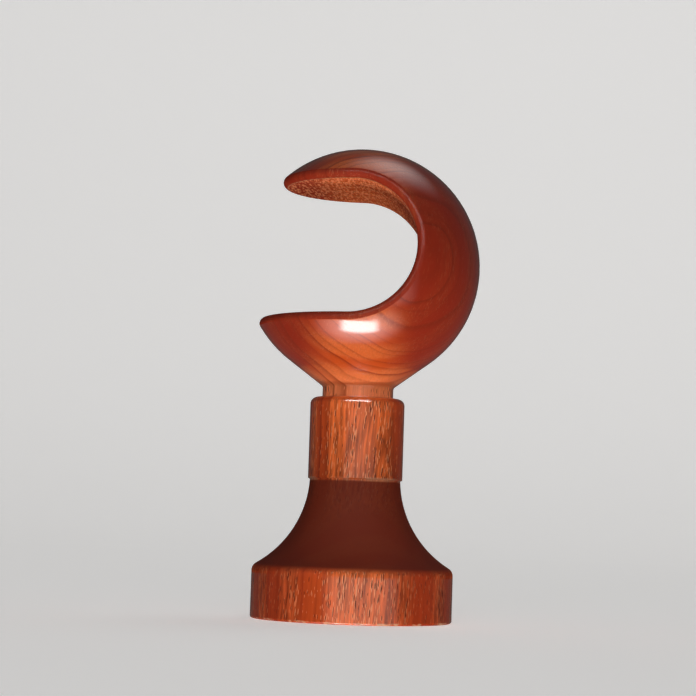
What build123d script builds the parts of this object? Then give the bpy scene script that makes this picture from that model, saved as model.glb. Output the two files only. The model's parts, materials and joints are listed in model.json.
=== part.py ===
"""Turned wooden bracket for a round curtain pole.

One piece of wood is turned about +Z: a round base for the wall, a cove, a neck, a collar and a ball
that runs out at its foot in a cone.
A slot through the ball, open towards -X, takes the pole along Y.
"""

import os
from math import cos, radians, sin, tan

from build123d import *

# Driving dimensions, in millimetres

pole_diameter = 28.0
pole_clearance = 2.0

base_diameter = 45.2
base_thickness = 11.7
base_top_rounding = 2.0
base_back_rounding = 0.6

cove_height = 19.7
cove_top_diameter = 20.4
cove_radius = 23.2

neck_diameter = 21.3
neck_length = 18.4
neck_top_rounding = 1.5
neck_bottom_rounding = 0.3

collar_diameter = 16.0
collar_length = 2.5
collar_blend_radius = 0.8

ball_diameter = 53.5
ball_foot_angle = 53.5

slot_offset = 2.6
seat_offset = 1.4
slot_edge_rounding = 1.2

screw_hole_diameter = 5.0
screw_hole_depth = 30.0
drill_point_angle = 118.0

# Radii and heights that follow from them

base_radius = base_diameter / 2
cove_top_radius = cove_top_diameter / 2
neck_radius = neck_diameter / 2
collar_radius = collar_diameter / 2
ball_radius = ball_diameter / 2
screw_hole_radius = screw_hole_diameter / 2

neck_bottom_z = base_thickness + cove_height
neck_top_z = neck_bottom_z + neck_length
foot_bottom_z = neck_top_z + collar_length
foot_angle = radians(ball_foot_angle)
foot_top_radius = ball_radius * cos(foot_angle)
foot_top_z = foot_bottom_z + (foot_top_radius - collar_radius) / tan(foot_angle)
ball_centre_z = foot_top_z + ball_radius * sin(foot_angle)

slot_width = pole_diameter + pole_clearance
slot_radius = slot_width / 2
slot_centre_z = ball_centre_z + slot_offset
slot_reach = ball_radius + slot_width
drill_point_height = screw_hole_radius / tan(radians(drill_point_angle / 2))


def corner(sketch, x, z):
    """The corner of the turned outline that lies at x, z."""
    return sketch.vertices().sort_by_distance((x, z))[0]


with BuildPart() as bracket:
    # The turned outline, from the wall face up to the top of the ball
    with BuildSketch(Plane.XZ) as turned_outline:
        with BuildLine():
            Polyline((0, 0), (base_radius, 0), (base_radius, base_thickness))
            RadiusArc((base_radius, base_thickness), (cove_top_radius, neck_bottom_z), cove_radius)
            Polyline(
                (cove_top_radius, neck_bottom_z),
                (neck_radius, neck_bottom_z),
                (neck_radius, neck_top_z),
                (collar_radius, neck_top_z),
                (collar_radius, foot_bottom_z),
                (foot_top_radius, foot_top_z),
            )
            ThreePointArc(
                (foot_top_radius, foot_top_z),
                (ball_radius, ball_centre_z),
                (0, ball_centre_z + ball_radius),
            )
            Line((0, ball_centre_z + ball_radius), (0, 0))
        make_face()
        fillet(corner(turned_outline, base_radius, 0), base_back_rounding)
        fillet(corner(turned_outline, base_radius, base_thickness), base_top_rounding)
        fillet(corner(turned_outline, neck_radius, neck_bottom_z), neck_bottom_rounding)
        fillet(corner(turned_outline, neck_radius, neck_top_z), neck_top_rounding)
        fillet(corner(turned_outline, collar_radius, foot_bottom_z), collar_blend_radius)
    revolve(axis=Axis.Z)

    # The pole's slot: a half-round seat with flat walls out to the mouth
    with BuildSketch(Plane.XZ):
        with Locations((-seat_offset, slot_centre_z)):
            Circle(slot_radius)
            Rectangle(slot_reach, slot_width, align=(Align.MAX, Align.CENTER))
    extrude(amount=slot_reach, both=True, mode=Mode.SUBTRACT)
    slot_rim = bracket.edges(Select.LAST).filter_by(GeomType.LINE, reverse=True)
    fillet(slot_rim, slot_edge_rounding)

    # The blind hole in the wall face for the fixing screw, with the drill's point
    with Locations(Plane(origin=(0, 0, 0), z_dir=(0, 0, -1))):
        Hole(screw_hole_radius, depth=screw_hole_depth)
    with Locations((0, 0, screw_hole_depth)):
        Cone(
            screw_hole_radius,
            0,
            drill_point_height,
            align=(Align.CENTER, Align.CENTER, Align.MIN),
            mode=Mode.SUBTRACT,
        )

bracket.part.label = "turned_bracket"

os.makedirs("parts", exist_ok=True)
export_step(bracket.part, "parts/turned_bracket.step")
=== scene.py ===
"""Dresses a turned wooden curtain pole bracket: stained wood under lacquer, a stage and a camera."""

import json
import math

import bmesh
import bpy
from bpy.props import FloatProperty, FloatVectorProperty, PointerProperty
from mathutils import Matrix, Vector


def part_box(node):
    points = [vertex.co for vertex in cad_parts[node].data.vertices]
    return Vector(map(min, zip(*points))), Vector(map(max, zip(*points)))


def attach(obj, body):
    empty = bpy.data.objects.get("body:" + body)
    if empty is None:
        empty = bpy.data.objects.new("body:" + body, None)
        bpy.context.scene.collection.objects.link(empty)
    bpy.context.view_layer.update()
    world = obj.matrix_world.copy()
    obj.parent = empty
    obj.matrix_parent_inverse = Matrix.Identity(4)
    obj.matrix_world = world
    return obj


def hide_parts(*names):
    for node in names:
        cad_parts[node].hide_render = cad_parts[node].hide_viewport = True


bl_info = {
    "name": "Turned Curtain Pole Bracket",
    "version": (1, 0, 0),
    "blender": (4, 5, 0),
    "location": "3D View > Sidebar > Bracket",
    "description": "Finishes a turned wooden curtain pole bracket and sets it on a pale stage",
    "category": "Object",
}

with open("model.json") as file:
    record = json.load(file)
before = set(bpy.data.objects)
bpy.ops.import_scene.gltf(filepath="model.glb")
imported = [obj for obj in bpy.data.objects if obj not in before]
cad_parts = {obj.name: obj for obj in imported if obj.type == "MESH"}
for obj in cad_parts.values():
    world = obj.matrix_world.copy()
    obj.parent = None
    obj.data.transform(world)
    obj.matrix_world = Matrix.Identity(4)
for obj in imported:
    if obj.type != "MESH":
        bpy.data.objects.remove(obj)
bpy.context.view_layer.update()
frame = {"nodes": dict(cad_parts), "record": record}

# The solid that is dressed, and what the frame says of it, in metres

MM_PER_METRE = 1000.0
WOOD_NODE = "turned_bracket"
BODY = "root"
low_corner, high_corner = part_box(WOOD_NODE)
ball_radius = high_corner.x
ball_centre = Vector((0, 0, high_corner.z - ball_radius))
mounts = {mount["name"]: mount for mount in frame["record"]["mounts"]}
hole_radius = mounts["fixing_hole"]["dims"]["r_mm"] / MM_PER_METRE
hole_depth = mounts["fixing_hole"]["dims"]["length_mm"] / MM_PER_METRE
seat_radius = mounts["pole_seat"]["dims"]["r_mm"] / MM_PER_METRE
seat_centre = Vector(mounts["pole_seat"]["pos_m"])


# Settings that a user would change


class WoodSettings(bpy.types.PropertyGroup):
    """Colours and grain of the turned wood."""

    light_stain: FloatVectorProperty(
        name="Light stain",
        description="Stain on the coarse bands, where the grain is open",
        subtype="COLOR",
        min=0.0,
        max=1.0,
        default=(0.64, 0.122, 0.027),
    )
    red_stain: FloatVectorProperty(
        name="Red stain",
        description="Stain on the dense, smooth bands of the wood",
        subtype="COLOR",
        min=0.0,
        max=1.0,
        default=(0.55, 0.074, 0.012),
    )
    ring_line: FloatVectorProperty(
        name="Ring line",
        description="Dark line at the end of each growth ring",
        subtype="COLOR",
        min=0.0,
        max=1.0,
        default=(0.20, 0.018, 0.005),
    )
    # Colour that makes the cove between the base and the neck darker than the rest of the wood
    cove_dark_color: FloatVectorProperty(
        name="Cove stain",
        description="Dark, dull stain on the cove between the base and the neck",
        subtype="COLOR",
        min=0.0,
        max=1.0,
        default=(0.155, 0.018, 0.006),
    )
    pore_color: FloatVectorProperty(
        name="Pores",
        description="Stain that has gathered in the open pores",
        subtype="COLOR",
        min=0.0,
        max=1.0,
        default=(0.125, 0.016, 0.005),
    )
    # Painted shade: a deeper red on the two flanks, where the front light falls off, and on the slot's rim
    painted_shade_red: FloatVectorProperty(
        name="Deep stain",
        description="Stain on the two flanks and on the slot's rounded rim",
        subtype="COLOR",
        min=0.0,
        max=1.0,
        default=(0.24, 0.014, 0.005),
    )
    # Painted light: a lighter colour on the collar and the ball's foot above it, standing in for light that
    # the neck's shoulder keeps off them
    collar_painted_light: FloatVectorProperty(
        name="Thin stain",
        description="Stain on the collar and on the ball's foot above it, which is rubbed thin",
        subtype="COLOR",
        min=0.0,
        max=1.0,
        default=(0.83, 0.25, 0.09),
    )
    # Pale torn fibres in the slot, and painted glints on the raised fibres beside the pores
    pale_fibre_and_glint: FloatVectorProperty(
        name="Pale fibres",
        description="Fibres that have taken little stain, beside the pores and in the slot",
        subtype="COLOR",
        min=0.0,
        max=1.0,
        default=(0.90, 0.31, 0.13),
    )
    # Also painted, as highlight lines, along the neck's bottom edge and round the slot's rim
    bare_wood: FloatVectorProperty(
        name="Bare wood",
        description="Wood without stain, in the drilled hole and along worn edges",
        subtype="COLOR",
        min=0.0,
        max=1.0,
        default=(0.56, 0.28, 0.15),
    )
    ring_spacing: FloatProperty(
        name="Ring spacing",
        description="Distance from one growth ring to the next",
        subtype="DISTANCE",
        unit="LENGTH",
        min=0.0002,
        default=0.0019,
    )
    band_spacing: FloatProperty(
        name="Band spacing",
        description="Distance over which coarse and smooth bands change",
        subtype="DISTANCE",
        unit="LENGTH",
        min=0.0005,
        default=0.0062,
    )
    pore_spacing: FloatProperty(
        name="Pore spacing",
        description="Distance between pores across the grain",
        subtype="DISTANCE",
        unit="LENGTH",
        min=0.0001,
        default=0.00035,
    )
    pore_length: FloatProperty(
        name="Pore length",
        description="Distance between pores along the grain",
        subtype="DISTANCE",
        unit="LENGTH",
        min=0.0005,
        default=0.0026,
    )
    pith_distance: FloatProperty(
        name="Pith distance",
        description="How far behind the turning axis the tree's pith lay",
        subtype="DISTANCE",
        unit="LENGTH",
        min=0.0,
        default=0.116,
    )
    lacquer_roughness: FloatProperty(
        name="Lacquer roughness",
        description="How matt the clear lacquer is",
        subtype="FACTOR",
        min=0.0,
        max=1.0,
        default=0.09,
    )


class StageSettings(bpy.types.PropertyGroup):
    """Camera, floor and lights."""

    camera_distance: FloatProperty(
        name="Camera distance",
        description="From the camera to the plane of the ball's centre",
        subtype="DISTANCE",
        unit="LENGTH",
        min=0.05,
        default=0.455,
    )
    focal_pixels: FloatProperty(
        name="Focal length in pixels",
        description="Focal length of the picture, in its own pixels",
        subtype="PIXEL",
        min=100.0,
        default=2000.0,
    )
    ball_pixel: FloatVectorProperty(
        name="Ball in the picture",
        description="Where the ball's centre lies, in pixels from the top left corner",
        size=2,
        default=(362.0, 267.5),
    )
    camera_pitch: FloatProperty(
        name="Camera pitch",
        description="How far below the ball's level the camera stands",
        subtype="ANGLE",
        unit="ROTATION",
        default=math.radians(5.0),
    )
    camera_yaw: FloatProperty(
        name="Camera yaw",
        description="How far the camera stands round to the ball's closed side",
        subtype="ANGLE",
        unit="ROTATION",
        default=math.radians(5.0),
    )
    camera_roll: FloatProperty(
        name="Camera roll",
        description="How far the bracket leans to the right in the picture",
        subtype="ANGLE",
        unit="ROTATION",
        default=math.radians(1.9),
    )
    floor_color: FloatVectorProperty(
        name="Floor",
        description="Colour of the floor and the backdrop",
        subtype="COLOR",
        min=0.0,
        max=1.0,
        default=(0.80, 0.79, 0.78),
    )
    floor_glow: FloatProperty(
        name="Floor glow",
        description="Light that the floor shows to the camera without lighting the bracket",
        min=0.0,
        default=0.54,
    )
    sky_strength: FloatProperty(
        name="Surrounding light",
        description="Strength of the even light from all sides",
        min=0.0,
        default=0.05,
    )
    sky_glow: FloatProperty(
        name="Sky glow",
        description="How bright the surroundings look to the camera",
        min=0.0,
        default=0.6,
    )
    mirror_glow: FloatProperty(
        name="Mirror glow",
        description="How bright the surroundings look in reflections",
        min=0.0,
        default=0.06,
    )


# Node helpers

NODE_STEP = 200
# The Mix node's colour sockets, whose names it also gives to other sockets
MIX_FIRST, MIX_SECOND, MIX_RESULT = 6, 7, 2


def add_node(tree, kind, place, **values):
    """A new node at a place in the editor, with its plain settings."""
    node = tree.nodes.new(kind)
    node.location = (place[0] * NODE_STEP, place[1] * -NODE_STEP)
    for name, value in values.items():
        setattr(node, name, value)
    return node


def feed(tree, socket, value):
    """Links a socket to another one, or sets it to a plain value."""
    if isinstance(value, bpy.types.NodeSocket):
        tree.links.new(value, socket)
    else:
        socket.default_value = value


def maths(tree, place, operation, *values):
    """The result of a Math node."""
    node = add_node(tree, "ShaderNodeMath", place, operation=operation)
    for socket, value in zip(node.inputs, values):
        feed(tree, socket, value)
    return node.outputs["Value"]


def between(tree, place, share, low, high):
    """A value that goes evenly from low where the share is 0 to high where it is 1."""
    return maths(tree, place, "MULTIPLY_ADD", share, high - low, low)


def rest_of(tree, place, share):
    """What a share leaves of 1."""
    return maths(tree, place, "SUBTRACT", 1.0, share)


def vector_maths(tree, place, operation, first, second):
    """The vector from a Vector Math node."""
    node = add_node(tree, "ShaderNodeVectorMath", place, operation=operation)
    feed(tree, node.inputs[0], first)
    feed(tree, node.inputs[1], second)
    return node.outputs["Vector"]


def vector_length(tree, place, vector):
    """How long a vector is."""
    node = add_node(tree, "ShaderNodeVectorMath", place, operation="LENGTH")
    feed(tree, node.inputs[0], vector)
    return node.outputs["Value"]


def separate(tree, place, vector):
    """The X, Y and Z of a vector."""
    node = add_node(tree, "ShaderNodeSeparateXYZ", place)
    feed(tree, node.inputs["Vector"], vector)
    return node.outputs


def map_range(tree, place, curve, value, start, end, low, high):
    """A value that goes from low at start to high at end, and no further."""
    node = add_node(tree, "ShaderNodeMapRange", place, interpolation_type=curve)
    feed(tree, node.inputs["Value"], value)
    feed(tree, node.inputs["From Min"], start)
    feed(tree, node.inputs["From Max"], end)
    feed(tree, node.inputs["To Min"], low)
    feed(tree, node.inputs["To Max"], high)
    return node.outputs["Result"]


def smooth_step(tree, place, value, start, end, low=0.0, high=1.0):
    """A value that goes smoothly from low at start to high at end."""
    return map_range(tree, place, "SMOOTHSTEP", value, start, end, low, high)


def noise(tree, place, vector, scale, roughness=0.5):
    """The outputs of a Noise Texture."""
    node = add_node(tree, "ShaderNodeTexNoise", place)
    feed(tree, node.inputs["Vector"], vector)
    feed(tree, node.inputs["Scale"], scale)
    feed(tree, node.inputs["Roughness"], roughness)
    return node.outputs


def mix_color(tree, place, factor, first, second, blend="MIX"):
    """A mix of two colours."""
    node = add_node(tree, "ShaderNodeMix", place, data_type="RGBA", blend_type=blend)
    feed(tree, node.inputs["Factor"], factor)
    feed(tree, node.inputs[MIX_FIRST], first)
    feed(tree, node.inputs[MIX_SECOND], second)
    return node.outputs[MIX_RESULT]


def opaque(color):
    """A colour property as the four numbers that a socket takes."""
    return (*color, 1.0)


def new_group(name, inputs, outputs):
    """An empty shader node group with float or vector sockets."""
    tree = bpy.data.node_groups.new(name, "ShaderNodeTree")
    for socket_name, kind, default in inputs:
        socket = tree.interface.new_socket(socket_name, in_out="INPUT", socket_type=kind)
        if default is not None:
            socket.default_value = default
    for socket_name, kind in outputs:
        tree.interface.new_socket(socket_name, in_out="OUTPUT", socket_type=kind)
    start = add_node(tree, "NodeGroupInput", (-2, 0))
    end = add_node(tree, "NodeGroupOutput", (16, 0))
    return tree, start.outputs, end.inputs


def new_material(name):
    """An empty node material with its Principled shader."""
    material = bpy.data.materials.new(name)
    material.use_nodes = True
    tree = material.node_tree
    tree.nodes.clear()
    shader = add_node(tree, "ShaderNodeBsdfPrincipled", (3, 0))
    output = add_node(tree, "ShaderNodeOutputMaterial", (5, 0))
    tree.links.new(shader.outputs["BSDF"], output.inputs["Surface"])
    return material, tree, shader


# The wood's figure, the same through the whole piece, in millimetres with the grain along Z

GRAIN_TILT = (math.radians(0.8), math.radians(-3.5), 0.0)
SWAY_STRETCH = (1.0, 1.0, 0.4)
SWAY_SCALE = 0.05
SWAY_MIDDLE = (0.5, 0.5, 0.5)
SWAY_REACH = (5.0, 5.0, 0.0)
ACROSS_GRAIN = (1.0, 1.0, 0.0)
PITH_SIDE = -29.0
# Growth rings: their uneven spacing, how each year darkens and ends, and how deep its line is
RING_SKEW = 0.4
YEAR_SCALE = 0.21
YEAR_DETAIL = 1.0
YEAR_SHIFT = 5.0
YEAR_DARKENING = 4.0
YEAR_END = 0.84
DARK_YEAR_RARITY = 2.0
LINE_DEPTH = (0.3, 1.9)
# Bands and streaks
FRONT_COARSE = 22.2
BAND_EDGE = 0.7
STREAK_STRETCH = (1.0, 1.0, 0.07)
STREAK_SCALE = 1.7
STREAK_ROUGHNESS = 0.55
# Pores and painted fibre glints: how they crowd together, and their widths in the smoothest and the coarsest
# wood, as shares of their spacing
CLUSTER_STRETCH = (1.0, 1.0, 0.06)
CLUSTER_SCALE = 1.1
CLUSTER_EDGE = (0.40, 0.58)
CLUSTER_SHARE = (0.35, 1.0)
OPEN_GRAIN = (0.55, 1.0)
CELL_SCATTER = 0.85
PORE_WIDTH = (0.08, 0.42)
PORE_CORE = 0.70
PORES_LEFT_OUT = (0.35, 0.45)
GLINT_WIDTH = (0.04, 0.48)
GLINT_CORE = 0.65
BESIDE_PORES = (0.48, 0.10, 0.06)


def grown_grain(tree, given):
    """A point's place in the trunk, which grew a little aslant and wavy."""
    aslant = add_node(tree, "ShaderNodeMapping", (-1, 0))
    feed(tree, aslant.inputs["Vector"], given["Vector"])
    aslant.inputs["Rotation"].default_value = GRAIN_TILT
    aslant.inputs["Scale"].default_value = (MM_PER_METRE,) * 3
    straight = aslant.outputs["Vector"]
    stretched = vector_maths(tree, (0, 1), "MULTIPLY", straight, SWAY_STRETCH)
    wave = noise(tree, (1, 1), stretched, SWAY_SCALE)["Color"]
    sway = vector_maths(tree, (2, 1), "SUBTRACT", wave, SWAY_MIDDLE)
    sway = vector_maths(tree, (3, 1), "MULTIPLY", sway, SWAY_REACH)
    return vector_maths(tree, (4, 0), "ADD", straight, sway)


def reach_from_pith(tree, given, grown):
    """Distance from the pith, which lies behind the piece, less that of the turning axis."""
    pith = add_node(tree, "ShaderNodeCombineXYZ", (4, 2))
    pith.inputs["X"].default_value = PITH_SIDE
    feed(tree, pith.inputs["Y"], given["Pith Distance"])
    across = vector_maths(tree, (5, 1), "SUBTRACT", grown, pith.outputs["Vector"])
    across = vector_maths(tree, (6, 1), "MULTIPLY", across, ACROSS_GRAIN)
    distance = vector_length(tree, (7, 1), across)
    axis_distance = vector_length(tree, (7, 2), pith.outputs["Vector"])
    return maths(tree, (8, 1), "SUBTRACT", distance, axis_distance)


def growth_rings(tree, given, grown, reach):
    """Dark lines at the ends of the years, good and poor ones, so their spacing and depth vary."""
    side = separate(tree, (6, 2), grown)["X"]
    ring_reach = maths(tree, (7, 3), "MULTIPLY_ADD", side, RING_SKEW, reach)
    years = add_node(tree, "ShaderNodeTexNoise", (8, 2), noise_dimensions="1D")
    feed(tree, years.inputs["W"], ring_reach)
    years.inputs["Scale"].default_value = YEAR_SCALE
    years.inputs["Detail"].default_value = YEAR_DETAIL
    uneven = maths(tree, (9, 2), "MULTIPLY_ADD", years.outputs["Fac"], YEAR_SHIFT, ring_reach)
    phase = maths(tree, (10, 2), "DIVIDE", uneven, given["Ring Spacing"])
    year = maths(tree, (10, 1), "FRACT", phase)
    darkening = maths(tree, (11, 1), "POWER", year, YEAR_DARKENING)
    ending = smooth_step(tree, (11, 2), year, YEAR_END, 1.0, 1.0, 0.0)
    line = maths(tree, (12, 1), "MULTIPLY", darkening, ending)
    harvest = add_node(tree, "ShaderNodeTexWhiteNoise", (11, 3), noise_dimensions="1D")
    feed(tree, harvest.inputs["W"], maths(tree, (10, 3), "FLOOR", phase))
    chance = maths(tree, (12, 4), "POWER", harvest.outputs["Value"], DARK_YEAR_RARITY)
    depth = between(tree, (12, 3), chance, *LINE_DEPTH)
    return maths(tree, (13, 1), "MULTIPLY", line, depth)


def coarse_bands(tree, given, reach):
    """1 in the coarse bands with open pores, 0 in the smooth bands between them."""
    inward = maths(tree, (7, 4), "SUBTRACT", FRONT_COARSE, reach)
    turns = maths(tree, (8, 4), "DIVIDE", inward, given["Band Spacing"])
    bands = maths(tree, (9, 4), "COSINE", maths(tree, (8, 5), "MULTIPLY", turns, math.tau))
    return smooth_step(tree, (10, 4), bands, -BAND_EDGE, BAND_EDGE)


def fine_streaks(tree, grown):
    """Long fine streaks of colour."""
    stretched = vector_maths(tree, (7, 6), "MULTIPLY", grown, STREAK_STRETCH)
    return noise(tree, (8, 6), stretched, STREAK_SCALE, STREAK_ROUGHNESS)["Fac"]


def scattered_cells(tree, place, vector):
    """The outputs of a Voronoi Texture, with one pore or fibre in each cell."""
    cells = add_node(tree, "ShaderNodeTexVoronoi", place)
    feed(tree, cells.inputs["Vector"], vector)
    cells.inputs["Scale"].default_value = 1.0
    cells.inputs["Randomness"].default_value = CELL_SCATTER
    return cells.outputs


def pores_and_glints(tree, given, grown, coarse):
    """Pores in clusters, long along the grain and round across it, and painted glints of pale fibre between
    them.
    """
    stretched = vector_maths(tree, (7, 7), "MULTIPLY", grown, CLUSTER_STRETCH)
    cluster = noise(tree, (8, 7), stretched, CLUSTER_SCALE)["Fac"]
    crowd = smooth_step(tree, (9, 7), cluster, *CLUSTER_EDGE, *CLUSTER_SHARE)
    open_grain = between(tree, (10, 5), coarse, *OPEN_GRAIN)
    open_share = maths(tree, (10, 7), "MULTIPLY", open_grain, crowd)

    cell = add_node(tree, "ShaderNodeCombineXYZ", (7, 8))
    feed(tree, cell.inputs["X"], given["Pore Spacing"])
    feed(tree, cell.inputs["Y"], given["Pore Spacing"])
    feed(tree, cell.inputs["Z"], given["Pore Length"])
    in_cells = vector_maths(tree, (8, 8), "DIVIDE", grown, cell.outputs["Vector"])

    pore_cells = scattered_cells(tree, (9, 8), in_cells)
    width = between(tree, (11, 7), open_share, *PORE_WIDTH)
    core = maths(tree, (12, 7), "MULTIPLY", width, PORE_CORE)
    hollow = smooth_step(tree, (13, 8), pore_cells["Distance"], core, width, 1.0, 0.0)
    chance = separate(tree, (10, 8), pore_cells["Color"])["X"]
    chosen = smooth_step(tree, (11, 8), chance, *PORES_LEFT_OUT)
    pores = maths(tree, (14, 8), "MULTIPLY", hollow, chosen)

    beside = vector_maths(tree, (8, 9), "ADD", in_cells, BESIDE_PORES)
    glint_cells = scattered_cells(tree, (9, 9), beside)
    width = between(tree, (12, 9), open_share, *GLINT_WIDTH)
    core = maths(tree, (12, 10), "MULTIPLY", width, GLINT_CORE)
    fibre_glints = smooth_step(tree, (13, 9), glint_cells["Distance"], core, width, 1.0, 0.0)
    return pores, fibre_glints


def wood_figure():
    """Node group: growth rings, coarse and smooth bands, streaks, pores and painted fibre glints."""
    tree, given, result = new_group(
        "turned wood figure",
        (
            ("Vector", "NodeSocketVector", None),
            ("Ring Spacing", "NodeSocketFloat", 1.9),
            ("Band Spacing", "NodeSocketFloat", 6.2),
            ("Pore Spacing", "NodeSocketFloat", 0.35),
            ("Pore Length", "NodeSocketFloat", 2.6),
            ("Pith Distance", "NodeSocketFloat", 116.0),
        ),
        (
            ("Rings", "NodeSocketFloat"),
            ("Bands", "NodeSocketFloat"),
            ("Streaks", "NodeSocketFloat"),
            ("Pores", "NodeSocketFloat"),
            ("Fibre Glints", "NodeSocketFloat"),
        ),
    )
    grown = grown_grain(tree, given)
    reach = reach_from_pith(tree, given, grown)
    coarse = coarse_bands(tree, given, reach)
    pores, fibre_glints = pores_and_glints(tree, given, grown, coarse)
    feed(tree, result["Rings"], growth_rings(tree, given, grown, reach))
    feed(tree, result["Bands"], coarse)
    feed(tree, result["Streaks"], fine_streaks(tree, grown))
    feed(tree, result["Pores"], pores)
    feed(tree, result["Fibre Glints"], fibre_glints)
    return tree


def figure_node(tree, wood, group):
    """The wood's figure, placed in a material on the piece's own coordinates."""
    coordinates = add_node(tree, "ShaderNodeTexCoord", (-6, 0))
    figure = add_node(tree, "ShaderNodeGroup", (-5, 0), node_tree=group)
    feed(tree, figure.inputs["Vector"], coordinates.outputs["Object"])
    sizes = {
        "Ring Spacing": wood.ring_spacing,
        "Band Spacing": wood.band_spacing,
        "Pore Spacing": wood.pore_spacing,
        "Pore Length": wood.pore_length,
        "Pith Distance": wood.pith_distance,
    }
    for name, size in sizes.items():
        figure.inputs[name].default_value = size * MM_PER_METRE
    return figure.outputs


# The stain and the lacquer

# Marks that the piece carries on its faces: the slot, the slot's rim, and the line where those two meet,
# which gets a painted highlight
MILLED_FACE = "milled_face"
RIM_FACE = "rim_face"
RIM_HIGHLIGHT_LINE = "rim_highlight_line"
# Heights above the wall where the finish changes, and distances to both sides for the painted shade on the
# flanks, in metres
BASE_RIM = 0.0098
COVE_BOTTOM = 0.0117
COVE_TOP = 0.0314
NECK_TOP = 0.0498
BALL_BOTTOM = 0.056
FOOT_TOP = 0.057
HEIGHT_FADE = 0.0006
SHADED_FLANK_MIDDLE = 0.0005
SHADED_FLANK_EDGE = (0.0035, 0.0138)
# How far the surface leans before the lacquer fills its grain, and how open the grain is before and after
END_GRAIN = (0.12, 0.6)
GRAIN_LEFT_OPEN = (1.0, 0.15)
# How strongly each colour covers: painted shade on the flanks below and on the ball and on the slot's rim,
# painted light on the collar, and the cove's darker colour
FLANK_SHADE_TONE = (0.55, 0.90)
RIM_SHADE_TONE = 0.85
COLLAR_LIGHT_TONE = 0.95
COVE_TONE = 0.92
# How strongly the grain shows: rings in smooth and coarse wood, streaks, painted fibre glints off and on the
# flanks, pores
RING_TONE = (0.90, 0.40)
PLAIN_STREAKS = 0.13
COARSE_STREAKS = 0.40
STREAK_EDGE = (0.3, 0.7)
GLINT_TONE = (0.82, 0.32)
PORE_TONE = 0.97
# Torn fibres in the slot
CUTTER_MARKS = (2.2, 0.4, 2.8)
TORN_EDGE = (0.45, 0.62)
TORN_TONE = 0.62
# Edges: chips worn to the bare wood at the wall, and painted highlight lines under the neck and round the
# slot
CHIP_SCALE = 420.0
CHIP_EDGE = (0.50, 0.62)
OFF_WALL = (0.00002, 0.0001)
NEAR_WALL = (0.0003, 0.0007)
NECK_LINE_SCALE = 170.0
NECK_LINE_EDGE = (0.45, 0.60)
NECK_HIGHLIGHT_EDGE = (0.0316, 0.0320)
NECK_HIGHLIGHT = 0.55
RIM_HIGHLIGHT = 0.7
# Gloss of the wood and its lacquer, where they are bright and where they are dull
RIM_DULLNESS = 0.95
WOOD_ROUGHNESS = (0.28, 0.78)
WOOD_SPECULAR = 0.07
COAT = (0.95, 0.0)
COAT_ON_PORES = (1.0, 0.15)
RELIEF_STRENGTH = 0.9
RELIEF_DEPTH = 0.00014
BARE_SHADE = 0.6
BARE_ROUGHNESS = 0.75


def face_mark(tree, place, name):
    """A mark that the piece carries on its faces."""
    return add_node(tree, "ShaderNodeAttribute", place, attribute_name=name).outputs["Fac"]


def piece_places(tree):
    """Where a point lies on the piece: its coordinates, its height and masks for the parts of the piece."""
    coordinates = add_node(tree, "ShaderNodeTexCoord", (-9, 5)).outputs["Object"]
    place = separate(tree, (-8, 5), coordinates)
    height = place["Z"]
    above_base = smooth_step(tree, (-6, 5), height, COVE_BOTTOM - HEIGHT_FADE, COVE_BOTTOM + HEIGHT_FADE)
    below_neck = smooth_step(tree, (-6, 6), height, COVE_TOP - HEIGHT_FADE, COVE_TOP, 1.0, 0.0)
    from_middle = maths(tree, (-8, 9), "SUBTRACT", place["X"], SHADED_FLANK_MIDDLE)
    aside = maths(tree, (-7, 9), "ABSOLUTE", from_middle)
    return {
        "coordinates": coordinates,
        "height": height,
        "below_neck": below_neck,
        "cove": maths(tree, (-5, 5), "MULTIPLY", above_base, below_neck),
        # Painted shade mask: the two flanks as seen from the front
        "shaded_flank": smooth_step(tree, (-6, 9), aside, *SHADED_FLANK_EDGE),
        "ball": smooth_step(tree, (-6, 10), height, BALL_BOTTOM, BALL_BOTTOM + HEIGHT_FADE),
        "slot": face_mark(tree, (-7, 6), MILLED_FACE),
        "slot_rim": face_mark(tree, (-7, 7), RIM_FACE),
        "rim_highlight_line": face_mark(tree, (-7, 8), RIM_HIGHLIGHT_LINE),
    }


def grain_openness(tree, at):
    """How open the grain is: lacquer fills it on the ball and on end grain, but not in the slot."""
    surface = add_node(tree, "ShaderNodeNewGeometry", (-8, 3))
    slope = separate(tree, (-7, 3), surface.outputs["Normal"])["Z"]
    steep = maths(tree, (-6, 3), "ABSOLUTE", slope)
    end_grain = smooth_step(tree, (-5, 3), steep, *END_GRAIN)
    covered = maths(tree, (-5, 2), "MAXIMUM", end_grain, at["ball"])
    filled = maths(tree, (-5, 4), "MULTIPLY", covered, rest_of(tree, (-6, 4), at["slot"]))
    return between(tree, (-4, 3), filled, *GRAIN_LEFT_OPEN)


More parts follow.
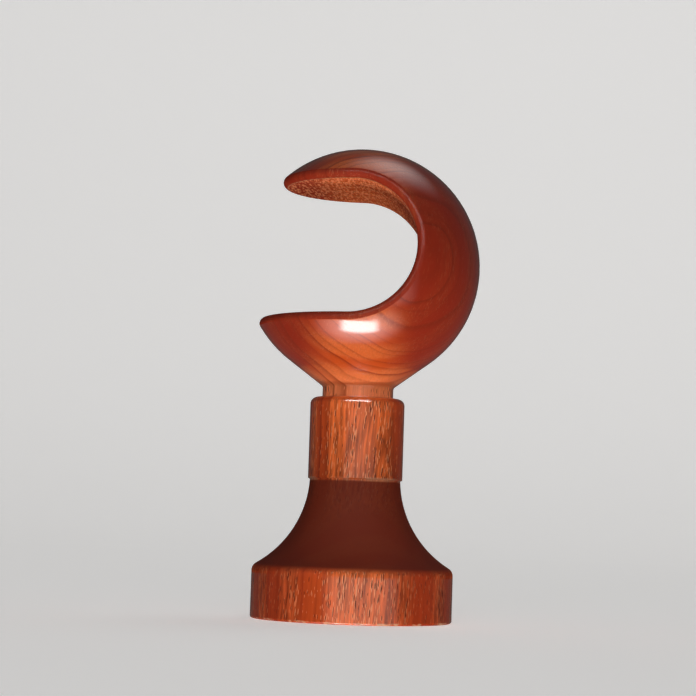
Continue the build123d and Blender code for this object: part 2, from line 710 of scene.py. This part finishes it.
def ground_stain(tree, wood, figure, at):
    """The stain before the grain shows: red and light bands, painted shade on the flanks and slot rim,
    painted light on the collar.
    """
    stain = mix_color(tree, (-4, 0), figure["Bands"], opaque(wood.red_stain), opaque(wood.light_stain))
    flank_shade_tone = between(tree, (-5, 8), at["ball"], *FLANK_SHADE_TONE)
    flank_shade_tone = maths(tree, (-4, 8), "MULTIPLY", flank_shade_tone, at["shaded_flank"])
    rim_shade_tone = maths(tree, (-5, 9), "MULTIPLY", at["slot_rim"], RIM_SHADE_TONE)
    painted_shade = maths(tree, (-4, 9), "MAXIMUM", flank_shade_tone, rim_shade_tone)
    # Painted shade: a deeper red on the flanks and on the slot's rim
    stain = mix_color(tree, (-3, -1), painted_shade, stain, opaque(wood.painted_shade_red))
    # Painted light: the collar and the foot above it are made lighter where the neck shades them
    above_neck = smooth_step(tree, (-6, 11), at["height"], NECK_TOP - HEIGHT_FADE, NECK_TOP)
    below_ball = smooth_step(tree, (-6, 12), at["height"], NECK_TOP, FOOT_TOP, COLLAR_LIGHT_TONE, 0.0)
    collar_lightening = maths(tree, (-5, 11), "MULTIPLY", above_neck, below_ball)
    return mix_color(tree, (-3, -2), collar_lightening, stain, opaque(wood.collar_painted_light))


def grained_stain(tree, wood, figure, at, grain):
    """The stain with its rings, streaks, painted fibre glints and pores, all under the cove's darker colour.
    """
    stain = ground_stain(tree, wood, figure, at)
    ring_tone = between(tree, (-4, 1), grain["coarse"], *RING_TONE)
    ring_tone = maths(tree, (-3, 1), "MULTIPLY", ring_tone, figure["Rings"])
    ring_tone = maths(tree, (-2, 1), "MULTIPLY", ring_tone, rest_of(tree, (-3, 0), at["cove"]))
    stain = mix_color(tree, (-2, -1), ring_tone, stain, opaque(wood.ring_line))

    plain_spread = maths(tree, (-5, 1), "MULTIPLY", grain["openness"], PLAIN_STREAKS)
    spread = maths(tree, (-4, 2), "MULTIPLY_ADD", grain["coarse"], COARSE_STREAKS, plain_spread)
    darkest = rest_of(tree, (-4, 4), spread)
    lightest = maths(tree, (-4, 5), "ADD", 1.0, spread)
    streak_tone = map_range(tree, (-3, 2), "LINEAR", figure["Streaks"], *STREAK_EDGE, darkest, lightest)
    stain = mix_color(tree, (-2, 0), 1.0, stain, streak_tone, "MULTIPLY")

    # Painted highlights: pale glints on the fibres beside the pores
    glint_tone = maths(tree, (-2, 4), "MULTIPLY", figure["Fibre Glints"], grain["openness"])
    glint_share = between(tree, (-2, 5), at["shaded_flank"], *GLINT_TONE)
    glint_tone = maths(tree, (-1, 4), "MULTIPLY", glint_tone, glint_share)
    stain = mix_color(tree, (-1, 0), glint_tone, stain, opaque(wood.pale_fibre_and_glint))
    pore_tone = maths(tree, (-1, 2), "MULTIPLY", grain["pores"], PORE_TONE)
    stain = mix_color(tree, (0, 0), pore_tone, stain, opaque(wood.pore_color))
    # Darkens the cove
    cove_tone = maths(tree, (-1, 5), "MULTIPLY", at["cove"], COVE_TONE)
    return mix_color(tree, (1, 0), cove_tone, stain, opaque(wood.cove_dark_color))


def torn_fibres(tree, at):
    """Mask: fibres torn where the slot was cut across the grain, in lines along the pole."""
    stretched = vector_maths(tree, (-3, 8), "MULTIPLY", at["coordinates"], CUTTER_MARKS)
    torn = noise(tree, (-2, 8), stretched, MM_PER_METRE)["Fac"]
    torn = smooth_step(tree, (-1, 8), torn, *TORN_EDGE)
    return maths(tree, (0, 8), "MULTIPLY", torn, maths(tree, (-1, 9), "MULTIPLY", at["slot"], TORN_TONE))


def worn_and_highlit_edges(tree, at):
    """Mask: chips worn to the bare wood at the wall, and painted highlight lines under the neck and round the
    slot.
    """
    chips = noise(tree, (-1, 7), at["coordinates"], CHIP_SCALE)["Fac"]
    chipped = smooth_step(tree, (0, 7), chips, *CHIP_EDGE)
    near_wall = smooth_step(tree, (0, 6), at["height"], *NEAR_WALL, 1.0, 0.0)
    off_wall = smooth_step(tree, (1, 9), at["height"], *OFF_WALL)
    wall_edge = maths(tree, (1, 6), "MULTIPLY", near_wall, off_wall)
    worn_wall = maths(tree, (1, 7), "MULTIPLY", chipped, wall_edge)

    # Painted highlight: a broken pale line along the neck's bottom edge
    neck_line_noise = noise(tree, (-1, 11), at["coordinates"], NECK_LINE_SCALE)["Fac"]
    neck_line_broken = smooth_step(tree, (0, 11), neck_line_noise, *NECK_LINE_EDGE)
    neck_highlight_band = smooth_step(tree, (0, 9), at["height"], *NECK_HIGHLIGHT_EDGE, NECK_HIGHLIGHT, 0.0)
    neck_highlight_band = maths(tree, (1, 10), "MULTIPLY", neck_highlight_band, rest_of(tree, (0, 10), at["below_neck"]))
    neck_highlight = maths(tree, (1, 11), "MULTIPLY", neck_line_broken, neck_highlight_band)

    # Painted highlight: a pale line round the slot's rim
    rim_highlight = maths(tree, (1, 8), "MULTIPLY", at["rim_highlight_line"], RIM_HIGHLIGHT)
    worn_or_highlit = maths(tree, (2, 9), "MAXIMUM", worn_wall, neck_highlight)
    return maths(tree, (2, 7), "MAXIMUM", worn_or_highlit, rim_highlight)


def clear_lacquer(tree, shader, wood, figure, at, grain):
    """Lacquer on the grain's relief, thin over pores, with next to none in the slot, its rim and the cove."""
    above_rim = smooth_step(tree, (-1, 6), at["height"], BASE_RIM, BASE_RIM + HEIGHT_FADE)
    dull_cove = maths(tree, (0, 5), "MULTIPLY", above_rim, at["below_neck"])
    dull_rim = maths(tree, (0, 2), "MULTIPLY", at["slot_rim"], RIM_DULLNESS)
    dull = maths(tree, (0, 3), "MAXIMUM", at["slot"], dull_cove)
    dull = maths(tree, (1, 5), "MAXIMUM", dull, dull_rim)
    feed(tree, shader.inputs["Roughness"], between(tree, (1, 2), dull, *WOOD_ROUGHNESS))
    coat = between(tree, (1, 3), dull, *COAT)
    on_pores = between(tree, (1, 12), grain["pores"], *COAT_ON_PORES)
    feed(tree, shader.inputs["Coat Weight"], maths(tree, (2, 2), "MULTIPLY", coat, on_pores))
    shader.inputs["Coat Roughness"].default_value = wood.lacquer_roughness
    shader.inputs["Specular IOR Level"].default_value = WOOD_SPECULAR

    relief = maths(tree, (0, 4), "MULTIPLY", figure["Streaks"], grain["coarse"])
    relief = maths(tree, (1, 4), "SUBTRACT", relief, grain["pores"])
    bump = add_node(tree, "ShaderNodeBump", (2, 3))
    bump.inputs["Strength"].default_value = RELIEF_STRENGTH
    bump.inputs["Distance"].default_value = RELIEF_DEPTH
    feed(tree, bump.inputs["Height"], relief)
    feed(tree, shader.inputs["Normal"], bump.outputs["Normal"])


def lacquered_wood(wood, group):
    """Material: stained wood, a darker cove, torn fibres in the slot and worn chips, with painted shade,
    light and highlights, under lacquer.
    """
    material, tree, shader = new_material("lacquered_wood")
    figure = figure_node(tree, wood, group)
    at = piece_places(tree)
    openness = grain_openness(tree, at)
    grain = {
        "openness": openness,
        "coarse": maths(tree, (-3, 3), "MULTIPLY", figure["Bands"], openness),
        "pores": maths(tree, (-2, 2), "MULTIPLY", figure["Pores"], openness),
    }
    stain = grained_stain(tree, wood, figure, at, grain)
    stain = mix_color(tree, (1, -1), torn_fibres(tree, at), stain, opaque(wood.pale_fibre_and_glint))
    # Worn chips, and painted highlight lines under the neck and round the slot, in the bare wood's colour
    stain = mix_color(tree, (2, 0), worn_and_highlit_edges(tree, at), stain, opaque(wood.bare_wood))
    feed(tree, shader.inputs["Base Color"], stain)
    clear_lacquer(tree, shader, wood, figure, at, grain)
    return material


def bare_wood(wood, group):
    """Material: the raw wood inside the drilled hole."""
    material, tree, shader = new_material("bare_wood")
    figure = figure_node(tree, wood, group)
    dark = opaque([part * BARE_SHADE for part in wood.bare_wood])
    grain = mix_color(tree, (-2, 0), figure["Streaks"], opaque(wood.bare_wood), dark)
    grain = mix_color(tree, (0, 0), figure["Pores"], grain, opaque(wood.pore_color))
    feed(tree, shader.inputs["Base Color"], grain)
    shader.inputs["Roughness"].default_value = BARE_ROUGHNESS
    return material


# The turned piece

SHARP_ANGLE = math.radians(30)
MERGE_DISTANCE = 1e-6
HOLE_MARGIN = 0.0001
SKIN_MARGIN = 0.00001
RIM_DEPTH = 0.003


def in_hole(face):
    """True for the faces of the drilled hole and its point."""
    centre = face.calc_center_median()
    radius = math.hypot(centre.x, centre.y)
    return radius < hole_radius + HOLE_MARGIN and HOLE_MARGIN < centre.z < hole_depth + hole_radius


def in_slot(face):
    """True for the slot's half-round seat and for its flat walls, which run from there to the open side."""
    offsets = [vert.co - seat_centre for vert in face.verts]
    return all(abs(math.hypot(max(off.x, 0.0), off.z) - seat_radius) < SKIN_MARGIN for off in offsets)


def on_ball_skin(face):
    """True for the faces of the ball's turned outside."""
    return all(abs((vert.co - ball_centre).length - ball_radius) < SKIN_MARGIN for vert in face.verts)


def in_slot_rim(face):
    """True for the rounded faces between the slot and the ball's outside."""
    rim_bottom = seat_centre.z - seat_radius - RIM_DEPTH
    return face.calc_center_median().z > rim_bottom and not in_slot(face) and not on_ball_skin(face)


def mark_faces(shape):
    """Gives the hole its own material, and marks the slot, its rim and the line where those two meet, for a
    painted highlight.
    """
    milled = shape.faces.layers.float.new(MILLED_FACE)
    rim_face = shape.faces.layers.float.new(RIM_FACE)
    rim_highlight_line = shape.loops.layers.float.new(RIM_HIGHLIGHT_LINE)
    for face in shape.faces:
        face.material_index = int(in_hole(face))
        face[rim_face] = float(in_slot_rim(face))
        face[milled] = float(in_slot(face))
    for face in shape.faces:
        for loop in face.loops:
            meets_slot = any(other[milled] for other in loop.vert.link_faces)
            loop[rim_highlight_line] = float(face[rim_face] and meets_slot)


class BRACKET_OT_turned_wood(bpy.types.Operator):
    """Make the turned wood from the solid, with smooth faces, lacquered outside and bare in the hole"""

    bl_idname = "bracket.turned_wood"
    bl_label = "Turned Wood"

    def execute(self, context):
        wood = context.scene.bracket_wood
        shape = bmesh.new()
        shape.from_mesh(frame["nodes"][WOOD_NODE].data)
        bmesh.ops.remove_doubles(shape, verts=shape.verts, dist=MERGE_DISTANCE)
        shape.normal_update()
        mark_faces(shape)
        for face in shape.faces:
            face.smooth = True
        for edge in shape.edges:
            edge.smooth = edge.calc_face_angle(0.0) < SHARP_ANGLE
        mesh = bpy.data.meshes.new("bracket_wood")
        shape.to_mesh(mesh)
        shape.free()
        group = wood_figure()
        mesh.materials.append(lacquered_wood(wood, group))
        mesh.materials.append(bare_wood(wood, group))
        piece = bpy.data.objects.new("bracket_wood", mesh)
        context.scene.collection.objects.link(piece)
        normals = piece.modifiers.new("even normals", "WEIGHTED_NORMAL")
        normals.keep_sharp = True
        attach(piece, BODY)
        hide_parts(WOOD_NODE)
        return {"FINISHED"}


# The stage

IMAGE_PIXELS = 696
SENSOR_WIDTH = 36.0
CLIP_START = 0.01
# The floor's ends, half its width, the sweep behind it and the backdrop's height, in metres
FLOOR_FRONT = -0.5
FLOOR_BACK = 1.0
FLOOR_HALF_WIDTH = 2.5
SWEEP_RADIUS = 0.5
SWEEP_STEPS = 24
WALL_HEIGHT = 1.6
LAMP_MIDDLE = 0.5
# Each lamp as the bracket's middle sees it: azimuth from the front to the right, elevation, width and height
# in degrees, and distance in metres. A lamp that doesn't light shows in the lacquer alone, and one that
# doesn't shine only lights. Fading is the share of its width and height over which it runs out.
LAMPS = {
    "low_front_lamp": dict(
        azimuth=3, elevation=-65, distance=0.7, width=38, height=15, brightness=19.0, fading=0.22
    ),
    "low_veil": dict(
        azimuth=1, elevation=-67, distance=0.7, width=84, height=44, brightness=4.3, fading=0.45,
        lights=False,
    ),
    "front_lamp": dict(
        azimuth=16, elevation=-20, distance=0.8, width=96, height=54, brightness=1.08, fading=0.25
    ),
    "front_fill": dict(
        azimuth=5, elevation=-4, distance=1.6, width=40, height=40, brightness=3.8, shines=False
    ),
    "shine_card": dict(
        azimuth=5, elevation=32, distance=0.8, width=62, height=18, brightness=24.0, fading=0.12,
        lights=False,
    ),
    "rear_lamp": dict(
        azimuth=180, elevation=-30, distance=0.7, width=50, height=40, brightness=3.2, shines=False
    ),
    "overhead_lamp": dict(
        azimuth=150, elevation=65, distance=2.0, width=50, height=50, brightness=1.6, fading=0.5
    ),
}


def seen_directly(tree):
    """1 for the camera's own rays, and for those of reflections and clear things."""
    path = add_node(tree, "ShaderNodeLightPath", (-4, 1))
    seen = maths(tree, (-3, 1), "MAXIMUM", path.outputs["Is Camera Ray"], path.outputs["Is Glossy Ray"])
    return maths(tree, (-2, 1), "MAXIMUM", seen, path.outputs["Is Transmission Ray"])


def floor_material(stage):
    """Material: pale matt paper that also glows a little for the camera."""
    material = bpy.data.materials.new("pale_paper")
    material.use_nodes = True
    tree = material.node_tree
    tree.nodes.clear()
    paper = add_node(tree, "ShaderNodeBsdfDiffuse", (0, 0))
    paper.inputs["Color"].default_value = opaque(stage.floor_color)
    glow = add_node(tree, "ShaderNodeEmission", (0, 1))
    glow.inputs["Color"].default_value = opaque(stage.floor_color)
    strength = maths(tree, (-1, 1), "MULTIPLY", seen_directly(tree), stage.floor_glow)
    feed(tree, glow.inputs["Strength"], strength)
    both = add_node(tree, "ShaderNodeAddShader", (1, 0))
    tree.links.new(paper.outputs["BSDF"], both.inputs[0])
    tree.links.new(glow.outputs["Emission"], both.inputs[1])
    output = add_node(tree, "ShaderNodeOutputMaterial", (2, 0))
    tree.links.new(both.outputs["Shader"], output.inputs["Surface"])
    return material


def pull_edges(shape, edges, offset):
    """Extrudes edges by an offset, and gives the new ones."""
    made = bmesh.ops.extrude_edge_only(shape, edges=edges)["geom"]
    verts = [part for part in made if isinstance(part, bmesh.types.BMVert)]
    bmesh.ops.translate(shape, verts=verts, vec=offset)
    new_edges = [part for part in made if isinstance(part, bmesh.types.BMEdge)]
    return [edge for edge in new_edges if all(vert in verts for vert in edge.verts)]


def add_floor(context, stage):
    """A floor that sweeps up into a backdrop, casts no shadow and shows in no reflection."""
    paper = bmesh.new()
    corners = [paper.verts.new((x, FLOOR_FRONT, 0)) for x in (-FLOOR_HALF_WIDTH, FLOOR_HALF_WIDTH)]
    edges = pull_edges(paper, [paper.edges.new(corners)], (0, FLOOR_BACK - FLOOR_FRONT, 0))
    spun = bmesh.ops.spin(
        paper,
        geom=edges + list({vert for part in edges for vert in part.verts}),
        cent=(0, FLOOR_BACK, SWEEP_RADIUS),
        axis=(1, 0, 0),
        angle=math.pi / 2,
        steps=SWEEP_STEPS,
    )["geom_last"]
    edges = [part for part in spun if isinstance(part, bmesh.types.BMEdge)]
    pull_edges(paper, edges, (0, 0, WALL_HEIGHT))
    bmesh.ops.recalc_face_normals(paper, faces=paper.faces)
    for face in paper.faces:
        face.smooth = True
    mesh = bpy.data.meshes.new("floor")
    paper.to_mesh(mesh)
    paper.free()
    mesh.materials.append(floor_material(stage))
    floor = bpy.data.objects.new("floor", mesh)
    context.scene.collection.objects.link(floor)
    floor.visible_shadow = False
    floor.visible_glossy = False


def fade_edges(light, fading):
    """Lets a lamp's brightness run out smoothly over this share of its width and height."""
    light.use_nodes = True
    tree = light.node_tree
    surface = add_node(tree, "ShaderNodeNewGeometry", (-6, 0))
    across = separate(tree, (-5, 0), surface.outputs["Parametric"])
    strength = 1.0
    for row, axis in enumerate("XY"):
        aside = maths(tree, (-4, row), "SUBTRACT", across[axis], LAMP_MIDDLE)
        off_centre = maths(tree, (-3, row), "ABSOLUTE", aside)
        inside = smooth_step(tree, (-2, row), off_centre, LAMP_MIDDLE - fading, LAMP_MIDDLE, 1.0, 0.0)
        strength = maths(tree, (-1, row), "MULTIPLY", inside, strength)
    feed(tree, tree.nodes["Emission"].inputs["Strength"], strength)


def add_lamp(context, name, azimuth, elevation, distance, width, height, brightness,
             lights=True, shines=True, fading=0.0):
    """A soft lamp of this brightness that the bracket's middle sees at these angles."""
    middle = (low_corner + high_corner) / 2
    level = math.cos(math.radians(elevation))
    towards = Vector((
        math.sin(math.radians(azimuth)) * level,
        -math.cos(math.radians(azimuth)) * level,
        math.sin(math.radians(elevation)),
    ))
    light = bpy.data.lights.new(name, "AREA")
    light.shape = "RECTANGLE"
    light.size = 2 * distance * math.tan(math.radians(width) / 2)
    light.size_y = 2 * distance * math.tan(math.radians(height) / 2)
    light.energy = brightness * math.pi * light.size * light.size_y
    if fading:
        fade_edges(light, fading)
    lamp = bpy.data.objects.new(name, light)
    lamp.location = middle + towards * distance
    lamp.rotation_mode = "QUATERNION"
    lamp.rotation_quaternion = (-towards).to_track_quat("-Z", "Y")
    lamp.visible_camera = False
    lamp.visible_diffuse = lights
    lamp.visible_glossy = shines
    context.scene.collection.objects.link(lamp)


def add_camera(context, stage):
    """The camera at the picture's viewing angle, with the ball at its place in the picture."""
    turn = (
        Matrix.Rotation(stage.camera_roll, 3, "Y")
        @ Matrix.Rotation(-stage.camera_pitch, 3, "X")
        @ Matrix.Rotation(-stage.camera_yaw, 3, "Z")
    )
    back = turn.transposed()
    metres_per_pixel = stage.camera_distance / stage.focal_pixels
    right = (stage.ball_pixel[0] - IMAGE_PIXELS / 2) * metres_per_pixel
    down = (stage.ball_pixel[1] - IMAGE_PIXELS / 2) * metres_per_pixel
    lens = bpy.data.cameras.new("picture_camera")
    lens.sensor_width = SENSOR_WIDTH
    lens.lens = SENSOR_WIDTH * stage.focal_pixels / IMAGE_PIXELS
    lens.clip_start = CLIP_START
    camera = bpy.data.objects.new("picture_camera", lens)
    place = ball_centre + back @ Vector((-right, -stage.camera_distance, down))
    facing = back @ Matrix.Rotation(math.pi / 2, 3, "X")
    camera.matrix_world = Matrix.Translation(place) @ facing.to_4x4()
    context.scene.collection.objects.link(camera)
    context.scene.camera = camera


def add_sky(context, stage):
    """Even light from all sides, which looks pale to the camera and dim in reflections."""
    world = bpy.data.worlds.new("studio")
    world.use_nodes = True
    tree = world.node_tree
    background = tree.nodes["Background"]
    background.inputs["Color"].default_value = opaque((1.0, 1.0, 1.0))
    path = add_node(tree, "ShaderNodeLightPath", (-4, 1)).outputs
    direct = maths(tree, (-3, 1), "MAXIMUM", path["Is Camera Ray"], path["Is Transmission Ray"])
    glow = between(tree, (-2, 1), direct, stage.sky_strength, stage.sky_glow)
    mirrored = stage.mirror_glow - stage.sky_strength
    glow = maths(tree, (-1, 1), "MULTIPLY_ADD", path["Is Glossy Ray"], mirrored, glow)
    feed(tree, background.inputs["Strength"], glow)
    context.scene.world = world


class BRACKET_OT_stage(bpy.types.Operator):
    """Set up the pale floor, the soft lamps and the camera"""

    bl_idname = "bracket.stage"
    bl_label = "Stage"

    def execute(self, context):
        stage = context.scene.bracket_stage
        context.scene.view_settings.view_transform = "Standard"
        add_floor(context, stage)
        for name, lamp in LAMPS.items():
            add_lamp(context, name, **lamp)
        add_sky(context, stage)
        add_camera(context, stage)
        return {"FINISHED"}


class BRACKET_PT_panel(bpy.types.Panel):
    """The steps in their order, with their settings"""

    bl_label = "Curtain Pole Bracket"
    bl_idname = "BRACKET_PT_panel"
    bl_space_type = "VIEW_3D"
    bl_region_type = "UI"
    bl_category = "Bracket"

    def draw(self, context):
        steps = (
            (BRACKET_OT_turned_wood, context.scene.bracket_wood),
            (BRACKET_OT_stage, context.scene.bracket_stage),
        )
        for operator, settings in steps:
            box = self.layout.box()
            box.operator(operator.bl_idname)
            for name in type(settings).__annotations__:
                box.prop(settings, name)


CLASSES = (WoodSettings, StageSettings, BRACKET_OT_turned_wood, BRACKET_OT_stage, BRACKET_PT_panel)


def register():
    """Adds the classes and their settings to Blender."""
    for each in CLASSES:
        bpy.utils.register_class(each)
    bpy.types.Scene.bracket_wood = PointerProperty(type=WoodSettings)
    bpy.types.Scene.bracket_stage = PointerProperty(type=StageSettings)


def unregister():
    """Takes the classes and their settings out of Blender."""
    del bpy.types.Scene.bracket_stage
    del bpy.types.Scene.bracket_wood
    for each in reversed(CLASSES):
        bpy.utils.unregister_class(each)


def main():
    """Makes the bracket and its stage."""
    register()
    bpy.ops.bracket.turned_wood()
    bpy.ops.bracket.stage()


if __name__ == "__main__":
    main()
